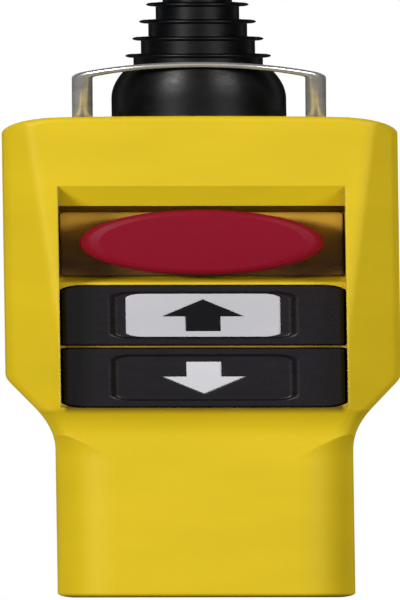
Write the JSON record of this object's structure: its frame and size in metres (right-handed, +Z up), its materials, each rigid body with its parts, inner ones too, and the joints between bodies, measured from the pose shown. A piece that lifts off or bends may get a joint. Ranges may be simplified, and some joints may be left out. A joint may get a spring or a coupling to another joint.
{
  "type": "pendant control station",
  "caption": "Hand-held pendant control station with a finned cable boot, a suspension bail, a recessed red mushroom stop and raise and lower keys.",
  "frame": {"origin": "on the cable's axis, level with the middle of the housing's top", "axes": "+Z up along the cable, the face with the buttons looks along -Y, +X to the right as seen from the front"},
  "size_m": [0.0566, 0.047, 0.3354],
  "materials": {
    "housing_yellow": "fine moulded texture",
    "plate_yellow": "smooth",
    "boot_rubber": "satin moulded rubber",
    "bail_steel": "polished stainless wire",
    "stop_red": "satin",
    "key_black": "fine moulded texture",
    "legend_white": "smooth",
    "arrow_black": "smooth",
    "arrow_white": "smooth",
    "black_plastic": "moulded",
    "block_grey": "moulded",
    "carrier_grey": "moulded",
    "plunger_white": "moulded",
    "seal_rubber": "matt",
    "zinc_steel": "zinc plated",
    "spring_steel": "drawn wire",
    "insert_brass": "turned"
  },
  "bodies": {
    "housing": {"front_shell": "housing_yellow", "rear_shell": "housing_yellow", "housing_gasket": "seal_rubber", "housing_screws": "zinc_steel", "housing_inserts": "insert_brass", "cable_boot": "boot_rubber", "cable_clamp": "zinc_steel", "cable_clamp_screws": "zinc_steel", "estop_bushing": "black_plastic", "estop_seal": "seal_rubber", "estop_nut": "black_plastic", "estop_plate": "plate_yellow", "estop_spring": "spring_steel", "estop_contact_block": "block_grey", "up_spring": "spring_steel", "up_contact_block": "block_grey", "down_spring": "spring_steel", "down_contact_block": "block_grey", "key_carrier": "carrier_grey", "carrier_screws": "zinc_steel", "terminal_screws": "zinc_steel"},
    "bail": {"suspension_bail": "bail_steel"},
    "stop_stem": {"estop_stem": "black_plastic"},
    "stop_head": {"estop_head": "stop_red"},
    "up_button": {"up_key": "key_black", "up_legend_plate": "legend_white", "up_arrow": "arrow_black", "up_plunger": "plunger_white"},
    "down_button": {"down_key": "key_black", "down_arrow": "arrow_white", "down_plunger": "plunger_white"}
  },
  "joints": [
    {"name": "up_key_press", "type": "slide", "parent": "housing", "child": "up_button", "axis": [0, 1, 0], "range_m": [0, 0.004], "stiffness_N_per_m": 700, "springref_m": -0.003, "deforming": ["up_spring"]},
    {"name": "down_key_press", "type": "slide", "parent": "housing", "child": "down_button", "axis": [0, 1, 0], "range_m": [0, 0.004], "stiffness_N_per_m": 700, "springref_m": -0.003, "deforming": ["down_spring"]},
    {"name": "stop_push", "type": "slide", "parent": "housing", "child": "stop_stem", "axis": [0, 1, 0], "range_m": [0, 0.004], "stiffness_N_per_m": 1500, "springref_m": -0.003, "deforming": ["estop_spring"]},
    {"name": "stop_twist", "type": "hinge", "parent": "stop_stem", "child": "stop_head", "pos_m": [0, -0.018, -0.0683], "axis": [0, 1, 0], "range_deg": [0, 45], "stiffness_Nm_per_rad": 0.06},
    {"name": "bail_swing", "type": "hinge", "parent": "housing", "child": "bail", "pos_m": [0, 0, -0.0055], "axis": [1, 0, 0], "range_deg": [0, 38]}
  ]
}
